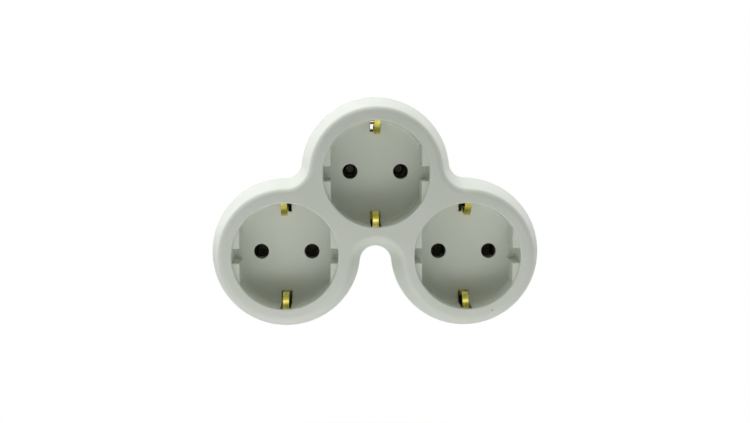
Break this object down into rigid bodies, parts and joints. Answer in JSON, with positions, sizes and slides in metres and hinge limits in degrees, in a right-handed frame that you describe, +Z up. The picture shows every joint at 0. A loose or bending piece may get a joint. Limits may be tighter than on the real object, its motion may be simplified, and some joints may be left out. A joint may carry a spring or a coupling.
{
  "type": "triple socket adapter",
  "caption": "Plug-in adapter with three round earthed socket wells set in a triangle on a three-lobed body and a two-pin plug with earth strips behind.",
  "frame": {"origin": "centre of the plug's end face, on the axis between its two pins, which is also the top socket's axis", "axes": "+Y along the plug pins into the wall outlet, +X to the right seen from the front, +Z up. The wells face -Y."},
  "size_m": [0.1218, 0.079, 0.0851],
  "materials": {
    "housing": "satin moulded, off-white",
    "brass": "bright rolled strip",
    "plated": "nickel plated",
    "screw_steel": "zinc plated"
  },
  "bodies": {
    "root": {"front_cover": "housing", "back_cover": "housing", "plug_pin_left": "plated", "plug_pin_right": "plated", "plug_earth_strip_upper": "brass", "plug_earth_strip_lower": "brass", "live_bus_bar": "brass", "neutral_bus_bar": "brass", "contact_left_live": "brass", "rivet_left_live": "brass", "contact_left_neutral": "brass", "rivet_left_neutral": "brass", "contact_right_live": "brass", "rivet_right_live": "brass", "contact_right_neutral": "brass", "rivet_right_neutral": "brass", "contact_top_live": "brass", "contact_top_neutral": "brass", "earth_bracket_left": "brass", "earth_bracket_right": "brass", "earth_bracket_top": "brass", "earth_link": "brass", "rivet_earth_left": "brass", "rivet_earth_right": "brass", "rivet_earth_lower": "brass", "rivet_earth_upper": "brass", "screw_upper_left": "screw_steel", "screw_upper_right": "screw_steel", "screw_lower_left": "screw_steel", "screw_lower_right": "screw_steel"}
  },
  "joints": []
}
